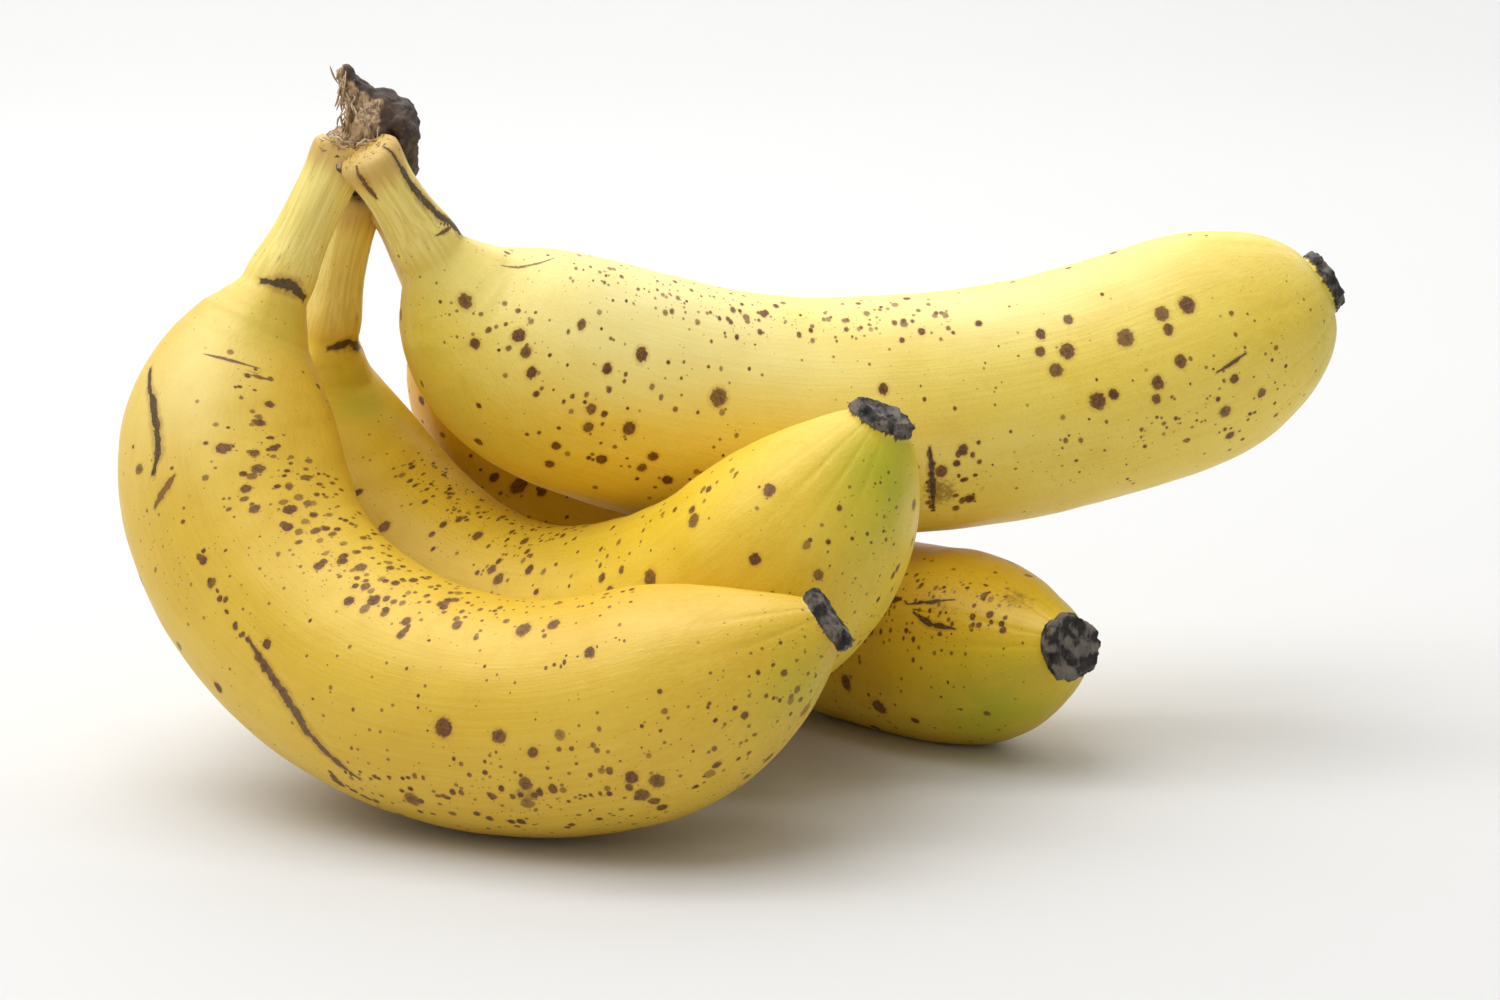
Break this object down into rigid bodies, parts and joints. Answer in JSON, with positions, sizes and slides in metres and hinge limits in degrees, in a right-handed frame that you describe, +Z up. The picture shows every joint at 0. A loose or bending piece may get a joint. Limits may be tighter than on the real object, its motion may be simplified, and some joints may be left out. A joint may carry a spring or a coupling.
{
  "type": "bunch of bananas",
  "caption": "Bunch of ripe bananas on one dried crown, sitting on its own fruit, with the crown up and one fruit lying across the others.",
  "frame": {"origin": "middle of the bunch's footprint, on the surface it rests on", "axes": "+Z up from the surface; +X along the fruit, from the crown end towards the blossom ends; -Y is the side of the front fruit"},
  "size_m": [0.2244, 0.1366, 0.1249],
  "materials": {
    "peel": "satin, waxy yellow with brown freckles",
    "blossom_end": "rough, dry, nearly black",
    "crown_tissue": "rough, shrunken and fibrous, dark brown"
  },
  "bodies": {
    "root": {"banana_front": "peel", "banana_second": "peel", "banana_top": "peel", "banana_low": "peel", "blossom_end_front": "blossom_end", "blossom_end_second": "blossom_end", "blossom_end_top": "blossom_end", "blossom_end_low": "blossom_end", "crown": "crown_tissue"}
  },
  "joints": []
}
